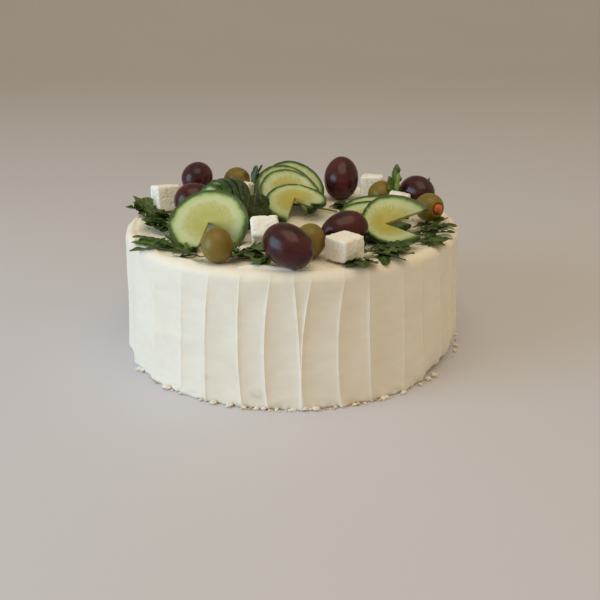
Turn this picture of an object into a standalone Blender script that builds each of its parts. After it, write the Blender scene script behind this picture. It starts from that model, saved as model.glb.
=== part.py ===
"""Sandwich cake: a frosted savoury cake with cucumber, grapes, olives, cheese and rocket on top."""
import math
import random

import bmesh
import bpy
from mathutils import Matrix, Vector

MM = 0.001

# cake body
TOP_RADIUS = 110.0          # side radius just under the rounded rim
FOOT_RADIUS = 112.8         # side radius at the base
RIM_HEIGHT = 83.7           # crest of the lip round the top edge
BED_HEIGHT = 82.4           # level of the top inside the lip
RIM_ROUNDING = 7.0          # radius of the rounded rim
FLUTE_DEPTH = 0.9           # hollow of a spatula stroke behind the ridges beside it
FLUTE_FACETS = 4            # facets across one stroke
FOOT_WANDER = 0.8           # how far the torn foot runs in and out
# bearings of the ridges round the cake, degrees from the front toward the right
FRONT_RIDGES = (-78, -64, -50, -36, -26, -16, -7, 3, 15, 24, 36, 46, 56, 66, 77)
BACK_RIDGES = 20            # ridges on the rest of the way round

# cucumber
SLICE_STEPS = 24            # facets round one slice
RIND_WIDTH = 0.8            # rounding of the slice edge
FLAP_SPAN = math.radians(144)   # how far round from the cut each flap reaches
FLAP_CURVE = 1.6            # how late along its span a flap starts to bend

# grapes, olives and cheese
GRAPE_SEGMENTS = 14
GRAPE_RINGS = 9
OLIVE_LENGTH = 20.5
OLIVE_WIDTH = 18.6
PIT_RADIUS = 4.1            # hole left by the stone
PIT_DEPTH = 6.0
FILLING_RADIUS = 3.5
FILLING_LENGTH = 5.2
FILLING_GAP = 0.4           # air between the filling and the bottom of the pit
GRAPE_TAPER = 0.06          # how much slimmer the far end of a grape is
CHEESE_ROUNDING = 1.1
CHEESE_UNEVEN = 0.05        # how far a corner strays, as a share of the block's size

# rocket
LEAF_THICKNESS = 0.9
LEAF_STATIONS = 9
CLEARANCE = 0.6             # air under a leaf lying on the frosting
STEM_RADIUS = 0.9

REST_GAP = 0.4              # air under a topping that lies on the frosting

# cucumber slices lying on the frosting: place, turn to the right, lean back, bearing of the cut,
# forward flap, back flap, bow at the middle, opening left of the cut, opening right of it,
# how far the cut runs past the middle, radius, how far raised
SLICES = {
    "cucumber_left_1": ((-51, -49), -10, 50, 165, 15, 20, 0, 25, 45, 0, 24.5, 1),
    "cucumber_back_1": ((2, 15), 12, 58, 185, 12, -45, -5, 18, 24, 7, 21, 2),
    "cucumber_back_2": ((-2, 29), 22, 44, 190, 8, -28, 0, 22, 22, 6, 22, 0),
    "cucumber_back_3": ((-5, 40), 24, 42, 190, 8, -28, 0, 22, 22, 6, 22, 0),
    "cucumber_back_4": ((1, 50), 26, 42, 190, 8, -28, 0, 22, 22, 4, 22, 0),
    "cucumber_right_1": ((58, -42), 0, 61, 100, 27, 2, 20, 38, 33, 9, 24, 3),
    "cucumber_right_2": ((50, -31), 10, 73, 105, 0, 0, 0, 25, 20, 3, 24, 0),
    "cucumber_right_3": ((54, -11), 10, 75, 105, 0, 0, 0, 25, 20, 3, 24, 0),
}
SLICE_THICKNESS = 2.5

# the thick slices that stand in a row behind the left one, their feet cut level with the frosting
ROW_COUNT = 5
ROW_START = (-54, -21)
ROW_STEP = (3.6, 3.2)       # from one slice to the next
ROW_HEIGHT = 92.0           # middle of the first and the last slice
ROW_CROWN = 2.0             # how much higher the middle slice stands
ROW_TURN = -60
ROW_LEAN = 12
ROW_BEND = 8                # how far their cut ends bend apart, degrees
ROW_RADIUS = 22.0
ROW_THICKNESS = 3.7

# grapes: place, length, thickness, bearing of the length, tilt of the length upward, how far raised
GRAPES = {
    "grape_1": ((-70, 71), 26, 22.5, 70, 20, 2),
    "grape_2": ((-66, 13), 28, 23.5, 20, 0, 0),
    "grape_3": ((-1, -99), 32, 24, -36, -18, 0),
    "grape_4": ((32, -60), 30, 22, 197, -12, 0),
    "grape_5": ((36, 61), 32, 25, 80, 62, 0),
    "grape_6": ((88, 31), 27, 23, -54, 0, 0),
}

# olives: place, bearing of the hole, tilt of the hole upward, how far raised, hole shown
OLIVES = {
    "olive_1": ((-42, -87), 95, 72, 0, False),
    "olive_2": ((11, -78), 60, 70, 0, False),
    "olive_3": ((-42, 83), -25, 12, 0, True),
    "olive_4": ((63, 36), 88, 0, 0, False),
    "olive_5": ((91, -5), -58, 4, 1, True),
}

# cheese: place, width, depth, height, turn, tip back, roll, how far raised
CHEESE = {
    "cheese_1": ((-88, 27), 17, 14.5, 17, 30, 8, 3, 0),
    "cheese_2": ((-16, -54), 16.5, 13.5, 14, 2, 40, -3, 0),
    "cheese_3": ((31, -85), 17.5, 17, 14, 44, 0, 0, 1),
    "cheese_4": ((-36, 42), 15, 12, 16, -18, 8, 6, 0),
    "cheese_5": ((58, 55), 17, 13, 18, -6, 4, 1, 0),
    "cheese_6": ((73, 17), 14, 10.5, 13.5, -14, 6, 9, 0),
}

# rocket leaves: place of the root, its height over the frosting, bearing, climb, length,
# half width, lobes, droop
LEAVES = {
    "rocket_1": ((-94, 10), 3, 145, 12, 22, 5.5, 2, 10),
    "rocket_2": ((-76, -6), 3, 190, 30, 20, 7.5, 1, 25),
    "rocket_3": ((-77, -15), 2, 205, 12, 20, 5.5, 2, 8),
    "rocket_4": ((-81, 38), 8, 60, 35, 14, 3.5, 1, 10),
    "rocket_5": ((-94, -45), 1, -40, 0, 50, 4.5, 3, 0),
    "rocket_6": ((-38, -62), 2, -62, 0, 24, 4.5, 3, 0),
    "rocket_7": ((-27, -61), 4, -60, 8, 22, 5, 2, 8),
    "rocket_8": ((-22, -81), 2, -66, 6, 18, 4, 2, 12),
    "rocket_9": ((46, -66), 2, -20, 2, 26, 5, 3, 4),
    "rocket_10": ((48, -75), 2, -44, 4, 24, 4.5, 3, 6),
    "rocket_11": ((43, -88), 2, -104, 4, 12, 3.5, 2, 8),
    "rocket_12": ((75, -53), 2, -15, 2, 20, 4.5, 2, 6),
    "rocket_13": ((76, -33), 2, -22, 6, 24, 4.5, 3, 8),
    "rocket_14": ((86, -21), 2, 18, 4, 22, 3, 1, 6),
    "rocket_15": ((72, 25), 15, 82, 55, 24, 4.5, 2, 14),
    "rocket_16": ((97, 46), 5, 28, 45, 15, 2, 1, 6),
    "rocket_17": ((-30, 60), 4, 40, 22, 18, 5, 2, 10),
    "rocket_18": ((26, 33), 2, 10, 4, 13, 3.5, 1, 4),
}

# loose stems: place of both ends
STEMS = {
    "stem_1": ((-1, 41), (31, 21)),
}

materials = {}


def material(name, colour, roughness):
    """Make one plain material the first time it is asked for."""
    if name not in materials:
        mat = bpy.data.materials.new(name)
        mat.use_nodes = True
        shader = mat.node_tree.nodes["Principled BSDF"]
        shader.inputs["Base Color"].default_value = (*colour, 1.0)
        shader.inputs["Roughness"].default_value = roughness
        mat.diffuse_color = (*colour, 1.0)
        materials[name] = mat
    return materials[name]


def finish(name, mesh_bm, collection, mat, pose=None, smooth=False):
    """Turn a bmesh measured in millimetres into a named object in metres, placed by its pose."""
    bmesh.ops.recalc_face_normals(mesh_bm, faces=mesh_bm.faces[:])
    if mesh_bm.calc_volume(signed=True) < 0.0:
        bmesh.ops.reverse_faces(mesh_bm, faces=mesh_bm.faces[:])
    bmesh.ops.scale(mesh_bm, vec=(MM, MM, MM), verts=mesh_bm.verts[:])
    mesh = bpy.data.meshes.new(name)
    mesh_bm.to_mesh(mesh)
    mesh_bm.free()
    mesh.materials.append(mat)
    if smooth:
        mesh.shade_smooth()
    obj = bpy.data.objects.new(name, mesh)
    if pose is not None:
        obj.location = pose.translation * MM
        obj.rotation_euler = pose.to_euler()
    collection.objects.link(obj)
    return obj


def lying_pose(centre, bearing, tilt):
    """Pose that lays a piece's own +Z along a bearing, tilted upward."""
    lay = Matrix.Rotation(math.radians(90.0 - tilt), 4, "Y")
    swing = Matrix.Rotation(math.radians(bearing), 4, "Z")
    return Matrix.Translation(Vector(centre)) @ swing @ lay


def apply_modifier(obj, modifier):
    """Apply one modifier of one object."""
    bpy.context.view_layer.update()
    bpy.context.view_layer.objects.active = obj
    obj.select_set(True)
    bpy.ops.object.modifier_apply(modifier=modifier.name)
    obj.select_set(False)


def smoothstep(low, high, value):
    """Rise smoothly from 0 at low to 1 at high."""
    t = min(1.0, max(0.0, (value - low) / (high - low)))
    return t * t * (3.0 - 2.0 * t)


def ridge_bearings():
    """Bearings of every ridge round the cake, starting at the left end of the front ones."""
    rng = random.Random(8)
    start = FRONT_RIDGES[-1]
    span = 360.0 + FRONT_RIDGES[0] - start
    pitch = span / (BACK_RIDGES + 1)
    back = [start + pitch * (i + 1) + rng.uniform(-1.3, 1.3) for i in range(BACK_RIDGES)]
    return list(FRONT_RIDGES) + back


def body_columns():
    """Bearing of each column of the side and how hollow the strokes are there."""
    ridges = ridge_bearings()
    columns = []
    for i, start in enumerate(ridges):
        end = ridges[(i + 1) % len(ridges)]
        if end < start:
            end += 360.0
        for k in range(FLUTE_FACETS):
            share = k / FLUTE_FACETS
            hollow = math.sin(math.pi * share) ** 0.8 if k else 0.0
            columns.append((math.radians(start + (end - start) * share), hollow))
    return columns


def body_profile():
    """Radius, height and stroke strength of each ring, from the foot up to the bed."""
    rings = [(FOOT_RADIUS - 0.6, 0.0, 0.6), (FOOT_RADIUS + 0.2, 2.2, 0.9)]
    rings.append((FOOT_RADIUS - 0.6, 14.0, 1.0))
    rings.append((TOP_RADIUS + 0.9, 40.0, 1.0))
    rings.append((TOP_RADIUS, 62.0, 0.9))
    for step in range(4):
        angle = math.radians(90.0 * step / 3)
        radius = TOP_RADIUS - RIM_ROUNDING * (1.0 - math.cos(angle))
        height = RIM_HEIGHT - RIM_ROUNDING * (1.0 - math.sin(angle))
        rings.append((radius, height, 0.35 * math.cos(angle)))
    rings.append((TOP_RADIUS - 15.0, BED_HEIGHT, 0.0))
    return rings


def build_body(collection):
    """The frosted cake: stacked rings with hollow spatula strokes and a wandering foot."""
    bm = bmesh.new()
    columns = body_columns()
    rings = []
    for radius, height, strength in body_profile():
        ring = []
        for bearing, hollow in columns:
            wander = math.sin(3.0 * bearing + 0.6) + 0.6 * math.sin(7.0 * bearing + 2.0)
            foot = FOOT_WANDER * 0.5 * wander * (1.0 - smoothstep(0.0, 30.0, height))
            r = radius - FLUTE_DEPTH * hollow * strength + foot
            ring.append(bm.verts.new((r * math.sin(bearing), -r * math.cos(bearing), height)))
        rings.append(ring)
    count = len(columns)
    for low, high in zip(rings, rings[1:]):
        for i in range(count):
            j = (i + 1) % count
            bm.faces.new((low[i], low[j], high[j], high[i]))
    for ring, height in ((rings[0], 0.0), (rings[-1], BED_HEIGHT - 0.2)):
        centre = bm.verts.new((0.0, 0.0, height))
        for i in range(count):
            bm.faces.new((ring[i], ring[(i + 1) % count], centre))
    frosting = material("frosting", (0.80, 0.76, 0.64), 0.55)
    return finish("cake_body", bm, collection, frosting)


def frosting_under(x, y):
    """Height of the frosting at a place."""
    reach = math.hypot(x, y)
    lip = TOP_RADIUS - RIM_ROUNDING
    if reach < lip - 10.0:
        return BED_HEIGHT
    if reach < lip:
        return RIM_HEIGHT - (RIM_HEIGHT - BED_HEIGHT) * (lip - reach) / 10.0
    over = min(1.0, (reach - lip) / (RIM_ROUNDING + 0.5))
    return RIM_HEIGHT - RIM_ROUNDING * (1.0 - math.sqrt(1.0 - over * over))


def lying_height(place, length, width, tilt):
    """Height at which the middle of an egg-shaped piece lies when it rests on the frosting."""
    slope = math.radians(tilt)
    below = math.hypot(length / 2.0 * math.sin(slope), width / 2.0 * math.cos(slope))
    return frosting_under(*place) + REST_GAP + below


def settle(mesh_bm, place, raised):
    """Lower a piece until its lowest corner is just above the frosting, then raise it."""
    lowest = min(vert.co.z for vert in mesh_bm.verts)
    rise = frosting_under(*place) + REST_GAP - lowest + raised
    bmesh.ops.translate(mesh_bm, vec=(0.0, 0.0, rise), verts=mesh_bm.verts[:])


def slice_ray(angle, spec):
    """End of the ray at an angle clockwise from the cut, in the slice's axes: right, up, forward."""
    cut, lift, drop, bow = spec[3:7]
    past, radius = spec[9:11]
    rise = bow * math.sin(angle / 2.0) ** 2
    if angle < FLAP_SPAN:
        rise += lift * (1.0 - angle / FLAP_SPAN) ** FLAP_CURVE
    other = 2.0 * math.pi - angle
    if other < FLAP_SPAN:
        rise -= drop * (1.0 - other / FLAP_SPAN) ** FLAP_CURVE
    rise = math.radians(rise)
    reach = past * math.cos(angle) + math.sqrt(radius ** 2 - (past * math.sin(angle)) ** 2)
    flat = reach * math.cos(rise)
    bearing = math.radians(cut) + angle
    return Vector((flat * math.sin(bearing), flat * math.cos(bearing), reach * math.sin(rise)))


def build_slice(name, spec, thickness, collection, height=None):
    """A cucumber slice cut to its middle, the two flaps bent apart."""
    place = spec[0]
    centre = Vector((*place, 0.0 if height is None else height))
    turn = math.radians(spec[1])
    lean = math.radians(spec[2])
    first = math.radians(spec[7])
    last = math.radians(360.0 - spec[8])
    toward = Vector((math.sin(turn) * math.cos(lean), -math.cos(turn) * math.cos(lean), math.sin(lean)))
    across = Vector((math.cos(turn), math.sin(turn), 0.0))
    up = toward.cross(across)
    axes = Matrix((across, up, toward)).transposed()
    bm = bmesh.new()
    half = thickness / 2.0

    def put(local, depth):
        return bm.verts.new(axes @ (local + Vector((0.0, 0.0, depth))) + centre)

    middle_top = put(Vector((0.0, 0.0, 0.0)), 0.0)
    middle_low = put(Vector((0.0, 0.0, 0.0)), -thickness)
    rows = []
    for i in range(SLICE_STEPS + 1):
        end = slice_ray(first + (last - first) * i / SLICE_STEPS, spec)
        inner = end * (1.0 - RIND_WIDTH / end.length)
        rows.append((put(inner, 0.0), put(end, -half), put(inner, -thickness)))
    for a, b in zip(rows, rows[1:]):
        bm.faces.new((middle_top, a[0], b[0]))
        bm.faces.new((middle_low, b[2], a[2]))
        bm.faces.new((a[0], a[1], b[1], b[0]))
        bm.faces.new((a[1], a[2], b[2], b[1]))
    for row in (rows[0], rows[-1]):
        bm.faces.new((middle_top, middle_low, row[2], row[1], row[0]))
    bmesh.ops.triangulate(bm, faces=bm.faces[:])
    if height is None:
        settle(bm, place, spec[11])
    return finish(name, bm, collection, material("cucumber", (0.55, 0.60, 0.24), 0.4))


def build_row(collection):
    """The thick cucumber slices that stand one behind the other."""
    lean = math.radians(ROW_LEAN)
    foot = BED_HEIGHT + 2.0 * REST_GAP + ROW_THICKNESS * math.sin(lean)
    for i in range(ROW_COUNT):
        height = ROW_HEIGHT + ROW_CROWN * math.sin(math.pi * i / (ROW_COUNT - 1))
        opening = math.degrees(math.acos((height - foot) / (ROW_RADIUS * math.cos(lean)))) + 2.0
        place = (ROW_START[0] + ROW_STEP[0] * i, ROW_START[1] + ROW_STEP[1] * i)
        spec = (place, ROW_TURN, ROW_LEAN, 180, ROW_BEND, ROW_BEND, 0, opening, opening, 0, ROW_RADIUS)
        build_slice("cucumber_left_" + str(i + 2), spec, ROW_THICKNESS, collection, height)


def build_grape(name, spec, collection):
    """A grape: an egg-shaped ball lying along its bearing."""
    place, length, width, bearing, tilt, raised = spec
    centre = (*place, lying_height(place, length, width, tilt) + raised)
    bm = bmesh.new()
    bmesh.ops.create_uvsphere(bm, u_segments=GRAPE_SEGMENTS, v_segments=GRAPE_RINGS, radius=1.0)
    for vert in bm.verts:
        taper = 1.0 - GRAPE_TAPER * vert.co.z
        vert.co = Vector((vert.co.x * width / 2 * taper, vert.co.y * width / 2 * taper,
                          vert.co.z * length / 2))
    skin = material("grape", (0.10, 0.025, 0.03), 0.3)
    return finish(name, bm, collection, skin, lying_pose(centre, bearing, tilt), smooth=True)


def build_olive(name, spec, collection, cutters):
    """An olive; where the hole shows it is drilled and holds its own piece of filling."""
    place, bearing, tilt, raised, open_end = spec
    centre = (*place, lying_height(place, OLIVE_LENGTH, OLIVE_WIDTH, tilt) + raised)
    pose = lying_pose(centre, bearing, tilt)
    skin = material("olive", (0.24, 0.19, 0.05), 0.35)
    bm = bmesh.new()
    bmesh.ops.create_uvsphere(bm, u_segments=GRAPE_SEGMENTS, v_segments=GRAPE_RINGS, radius=1.0)
    bmesh.ops.scale(bm, vec=(OLIVE_WIDTH / 2, OLIVE_WIDTH / 2, OLIVE_LENGTH / 2), verts=bm.verts[:])
    olive = finish(name, bm, collection, skin, pose, smooth=True)
    if not open_end:
        return
    hole = bmesh.new()
    bmesh.ops.create_cone(hole, cap_ends=True, segments=12, radius1=PIT_RADIUS, radius2=PIT_RADIUS,
                          depth=2.0 * PIT_DEPTH)
    mouth = pose @ Matrix.Translation((0.0, 0.0, OLIVE_LENGTH / 2))
    cutter = finish(name + "_cutter", hole, cutters, skin, mouth)
    cutter.hide_render = True
    cutter.display_type = "WIRE"
    drill = olive.modifiers.new("pit", "BOOLEAN")
    drill.operation = "DIFFERENCE"
    drill.solver = "EXACT"
    drill.object = cutter
    apply_modifier(olive, drill)
    bpy.data.objects.remove(cutter)
    filling = bmesh.new()
    bmesh.ops.create_uvsphere(filling, u_segments=10, v_segments=6, radius=1.0)
    bmesh.ops.scale(filling, vec=(FILLING_RADIUS, FILLING_RADIUS, FILLING_LENGTH / 2),
                    verts=filling.verts[:])
    inward = FILLING_LENGTH / 2 + FILLING_GAP - PIT_DEPTH
    finish(name + "_filling", filling, collection, material("filling", (0.45, 0.06, 0.01), 0.4),
           mouth @ Matrix.Translation((0.0, 0.0, inward)), smooth=True)


def build_cheese(name, spec, collection):
    """A hand-cut block of cheese with worn edges."""
    place, width, depth, height, turn, tip, roll, raised = spec
    bm = bmesh.new()
    bmesh.ops.create_cube(bm, size=1.0)
    rng = random.Random(name)
    for vert in bm.verts:
        uneven = [1.0 + rng.uniform(-CHEESE_UNEVEN, CHEESE_UNEVEN) for _ in range(3)]
        vert.co = Vector((vert.co.x * width * uneven[0], vert.co.y * depth * uneven[1],
                          vert.co.z * height * uneven[2]))
    pose = (Matrix.Rotation(math.radians(turn), 4, "Z") @ Matrix.Rotation(math.radians(-tip), 4, "X")
            @ Matrix.Rotation(math.radians(roll), 4, "Y"))
    lowest = min((pose @ vert.co).z for vert in bm.verts)
    pose = Matrix.Translation((*place, frosting_under(*place) + REST_GAP - lowest + raised)) @ pose
    block = finish(name, bm, collection, material("cheese", (0.82, 0.78, 0.66), 0.7), pose)
    bevel = block.modifiers.new("worn", "BEVEL")
    bevel.width = CHEESE_ROUNDING * MM
    bevel.segments = 1
    apply_modifier(block, bevel)


def build_leaf(name, spec, collection):
    """A rocket leaf: a thin lobed blade running out along its bearing."""
    place, rise, bearing, climb, length, half_width, lobes, droop = spec
    heading = math.radians(bearing)
    bm = bmesh.new()
    side = Vector((-math.sin(heading), math.cos(heading), 0.0))
    rows = []
    point = Vector((*place, frosting_under(*place) + rise))
    for i in range(LEAF_STATIONS + 1):
        t = i / LEAF_STATIONS
        slope = math.radians(climb - droop * 2.0 * t)
        along = Vector((math.cos(heading) * math.cos(slope), math.sin(heading) * math.cos(slope),
                        math.sin(slope)))
        if i:
            point = point + along * (length / LEAF_STATIONS)
        envelope = math.sin(math.pi * (0.12 + 0.86 * t)) ** 0.7
        wave = 0.72 + 0.28 * math.cos(2.0 * math.pi * lobes * t + math.pi)
        reach = max(0.7, half_width * envelope * wave)
        across = [point + side * (reach * k) for k in (-1.0, 0.0, 1.0)]
        floor = max(frosting_under(spot.x, spot.y) for spot in across)
        point.z = max(point.z, floor + CLEARANCE + LEAF_THICKNESS / 2)
        top = along.cross(side) * (LEAF_THICKNESS / 2)
        rows.append([bm.verts.new(point + side * reach + top), bm.verts.new(point - side * reach + top),
                     bm.verts.new(point - side * reach - top), bm.verts.new(point + side * reach - top)])
    for a, b in zip(rows, rows[1:]):
        for k in range(4):
            m = (k + 1) % 4
            bm.faces.new((a[k], a[m], b[m], b[k]))
    bm.faces.new(rows[0])
    bm.faces.new(rows[-1])
    finish(name, bm, collection, material("rocket", (0.07, 0.11, 0.03), 0.45))


def build_stem(name, ends, collection):
    """A bare stem lying between two points."""
    a, b = [Vector((*end, frosting_under(*end) + REST_GAP + STEM_RADIUS)) for end in ends]
    bm = bmesh.new()
    bmesh.ops.create_cone(bm, cap_ends=True, segments=8, radius1=STEM_RADIUS, radius2=STEM_RADIUS * 0.8,
                          depth=(b - a).length)
    pose = Matrix.Translation((a + b) / 2) @ (b - a).to_track_quat("Z", "Y").to_matrix().to_4x4()
    finish(name, bm, collection, material("rocket", (0.07, 0.11, 0.03), 0.45), pose, smooth=True)


def main():
    """Clear the file and build every piece."""
    for obj in list(bpy.data.objects):
        bpy.data.objects.remove(obj)
    cake = bpy.data.collections.new("sandwich_cake")
    cutters = bpy.data.collections.new("cutters")
    bpy.context.scene.collection.children.link(cake)
    bpy.context.scene.collection.children.link(cutters)
    build_body(cake)
    for name, spec in SLICES.items():
        build_slice(name, spec, SLICE_THICKNESS, cake)
    build_row(cake)
    for name, spec in GRAPES.items():
        build_grape(name, spec, cake)
    for name, spec in OLIVES.items():
        build_olive(name, spec, cake, cutters)
    for name, spec in CHEESE.items():
        build_cheese(name, spec, cake)
    for name, spec in LEAVES.items():
        build_leaf(name, spec, cake)
    for name, ends in STEMS.items():
        build_stem(name, ends, cake)


main()
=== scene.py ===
import itertools
import math
import random

import bpy
import numpy as np
from mathutils import Matrix, Vector
from mathutils.bvhtree import BVHTree


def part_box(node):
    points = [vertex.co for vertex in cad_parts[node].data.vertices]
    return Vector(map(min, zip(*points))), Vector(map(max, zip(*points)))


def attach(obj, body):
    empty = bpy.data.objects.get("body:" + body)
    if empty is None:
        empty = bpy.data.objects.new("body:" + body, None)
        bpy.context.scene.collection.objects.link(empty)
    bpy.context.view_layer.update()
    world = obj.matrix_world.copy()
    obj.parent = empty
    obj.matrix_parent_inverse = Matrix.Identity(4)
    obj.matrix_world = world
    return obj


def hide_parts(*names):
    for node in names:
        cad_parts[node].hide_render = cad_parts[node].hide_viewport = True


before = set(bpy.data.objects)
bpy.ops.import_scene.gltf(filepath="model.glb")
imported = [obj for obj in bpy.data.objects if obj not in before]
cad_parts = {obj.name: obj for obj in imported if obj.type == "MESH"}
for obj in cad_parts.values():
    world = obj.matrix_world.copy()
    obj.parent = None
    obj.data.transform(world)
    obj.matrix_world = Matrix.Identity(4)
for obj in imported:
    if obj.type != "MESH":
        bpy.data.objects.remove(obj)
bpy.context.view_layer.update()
mm = 0.001


# small tools shared by every piece

def deselectAll():
    if bpy.context.object and bpy.context.object.mode != "OBJECT":
        bpy.ops.object.mode_set(mode="OBJECT")
    bpy.ops.object.select_all(action="DESELECT")


def makeActive(piece):
    deselectAll()
    piece.select_set(True)
    bpy.context.view_layer.objects.active = piece


def nameNew(name):
    piece = bpy.context.object
    piece.name = name
    piece.data.name = name
    return piece


def inEditMode(piece, *steps):
    # runs each step with the whole piece selected
    makeActive(piece)
    bpy.ops.object.mode_set(mode="EDIT")
    bpy.ops.mesh.select_all(action="SELECT")
    for step in steps:
        step()
    bpy.ops.object.mode_set(mode="OBJECT")


def applyModifiers(piece):
    makeActive(piece)
    for modifier in list(piece.modifiers):
        bpy.ops.object.modifier_apply(modifier=modifier.name)


def getPoints(piece):  # millimetres
    points = np.zeros(len(piece.data.vertices) * 3)
    piece.data.vertices.foreach_get("co", points)
    return points.reshape(-1, 3) / mm


def setPoints(piece, points):
    piece.data.vertices.foreach_set("co", (np.asarray(points) * mm).ravel())
    piece.data.update()


def getNormals(piece):
    normals = np.zeros(len(piece.data.vertices) * 3)
    piece.data.vertices.foreach_get("normal", normals)
    return normals.reshape(-1, 3)


def setNumber(piece, name, values):  # one number for each point, for a material to read
    attribute = piece.data.attributes.get(name)
    attribute = attribute or piece.data.attributes.new(name, "FLOAT", "POINT")
    attribute.data.foreach_set("value", np.asarray(values, dtype=np.float32))


def softNoise(points, size, seed):
    # smooth random values between -1 and 1, on a lattice of the given size
    table = np.random.default_rng(seed).uniform(-1.0, 1.0, 4096)
    grid = np.asarray(points) / np.asarray(size)
    base = np.floor(grid).astype(np.int64)
    part = grid - base
    part = part * part * (3.0 - 2.0 * part)
    total = np.zeros(len(grid))
    for corner in itertools.product((0, 1), repeat=3):
        cell = base + corner
        key = (cell[:, 0] * 73 + cell[:, 1] * 911 + cell[:, 2] * 3571) & 4095
        share = np.prod(np.where(corner, part, 1.0 - part), axis=1)
        total += share * table[key]
    return total


def heightAt(x, y):  # millimetres, of the frosting straight below
    hit = surface.ray_cast(Vector((x * mm, y * mm, 0.3)), Vector((0, 0, -1)))[0]
    return hit.z / mm if hit else 0.0


def smoothStep(low, high, value):
    t = np.clip((value - low) / (high - low), 0.0, 1.0)
    return t * t * (3.0 - 2.0 * t)


def finishPiece(piece, material, nodes=()):
    piece.data.materials.clear()
    piece.data.materials.append(material)
    makeActive(piece)
    bpy.ops.object.shade_smooth()
    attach(piece, "root")
    for node in nodes:
        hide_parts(node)
    return piece


# material tools

def newMaterial(name, **sockets):
    material = bpy.data.materials.new(name)
    material.use_nodes = True
    tree = material.node_tree
    shader = tree.nodes["Principled BSDF"]
    for socket, value in sockets.items():
        shader.inputs[socket.replace("_", " ")].default_value = value
    return material, tree, shader


def addNode(tree, kind, **values):
    node = tree.nodes.new("ShaderNode" + kind)
    for name, value in values.items():
        socket = name.replace("_", " ")
        if socket in node.inputs:
            node.inputs[socket].default_value = value
        else:
            setattr(node, name, value)
    return node


def noiseNode(tree, scale, detail=4.0, stretch=(1, 1, 1)):
    coords = addNode(tree, "TexCoord")
    mapping = addNode(tree, "Mapping", Scale=stretch)
    noise = addNode(tree, "TexNoise", Scale=scale, Detail=detail)
    tree.links.new(coords.outputs["Object"], mapping.inputs["Vector"])
    tree.links.new(mapping.outputs["Vector"], noise.inputs["Vector"])
    return noise.outputs["Fac"]


def rampNode(tree, value, *stops):
    ramp = addNode(tree, "ValToRGB")
    band = ramp.color_ramp
    while len(band.elements) < len(stops):
        band.elements.new(0.5)
    for element, (place, colour) in zip(band.elements, stops):
        element.position = place
        element.color = (*colour, 1.0)
    tree.links.new(value, ramp.inputs["Fac"])
    return ramp.outputs["Color"]


def mixNode(tree, share, first, second, mode="MIX"):
    mix = addNode(tree, "Mix", data_type="RGBA", blend_type=mode)
    for socket, value in ((mix.inputs[0], share), (mix.inputs[6], first), (mix.inputs[7], second)):
        if isinstance(value, (tuple, float)):
            socket.default_value = (*value, 1.0) if isinstance(value, tuple) else value
        else:
            tree.links.new(value, socket)
    return mix.outputs[2]


def numberNode(tree, name):  # reads what setNumber wrote
    return addNode(tree, "Attribute", attribute_name=name).outputs["Fac"]


def mathNode(tree, operation, first, second):
    node = addNode(tree, "Math", operation=operation, use_clamp=True)
    for socket, value in zip(node.inputs, (first, second)):
        if isinstance(value, float):
            socket.default_value = value
        else:
            tree.links.new(value, socket)
    return node.outputs[0]


def bumpNode(tree, shader, height, strength, depth):
    bump = addNode(tree, "Bump", Strength=strength, Distance=depth * mm)
    tree.links.new(height, bump.inputs["Height"])
    previous = shader.inputs["Normal"].links
    if previous:
        tree.links.new(previous[0].from_socket, bump.inputs["Normal"])
    tree.links.new(bump.outputs["Normal"], shader.inputs["Normal"])


def paint(tree, shader, colour, *grains):
    # the colour, then fine relief: scale and detail of the noise, strength, depth
    tree.links.new(colour, shader.inputs["Base Color"])
    for scale, detail, strength, depth in grains:
        bumpNode(tree, shader, noiseNode(tree, scale, detail), strength, depth)


# frosting: one turned shell, combed upward with a spatula

frosting = {
    "columnsPerStroke": 20,
    "topRadius": 110.2,
    "rimHeight": 83.7,
    "bedHeight": 82.6,
    "bedSlope": 9.0,              # width of the slope from the rim down to the bed
    "rimRounding": 5.5,
    "sideRings": 54,
    "rimRings": 10,
    "topRings": 60,
    "hollowPerWidth": 0.075,      # depth of a stroke for each millimetre of its width
    "lipHeight": 0.72,
    "lipWidth": 0.6,
    "mottleDepth": 0.30,
    "waveDepth": 0.35,
    "tearDepth": 1.21,
    "wipeDepth": 10.0,            # how far the foot is wiped in at the right
    "wipeHeight": 20.0,
}

# bearings of a ridge at the top, the middle and the foot, in degrees from the front toward
# the right, and how sharp it is
frontRidges = [
    (-78, -79, -80, 0.3), (-60, -63, -66, 0.5), (-47, -48, -50, 0.4), (-35, -36, -37, 0.45),
    (-25, -27, -27, 0.8), (-15, -16, -15, 1.0), (-6, -8, -7, 1.0), (1, 2.4, 2.8, 0.9), (6, 3.2, 3.4, 0.9),
    (16, 14, 15, 1.0), (24, 24, 25, 0.9), (36, 37, 37, 0.5), (44, 45, 47, 0.5), (54, 56, 59, 0.6),
    (65, 66, 67, 0.5), (76, 77, 78, 0.5),
]
backRidgeCount = 20


def listRidges():
    rng = random.Random(8)
    start = frontRidges[-1][0]
    pitch = (360.0 + frontRidges[0][0] - start) / (backRidgeCount + 1)
    ridges = list(frontRidges)
    for i in range(backRidgeCount):
        bearing = start + pitch * (i + 1) + rng.uniform(-2.0, 2.0)
        lean = [rng.uniform(-1.2, 1.2) for _ in range(2)]
        ridges.append((bearing, bearing + lean[0], bearing + lean[1], rng.uniform(0.35, 1.0)))
    return ridges


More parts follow.
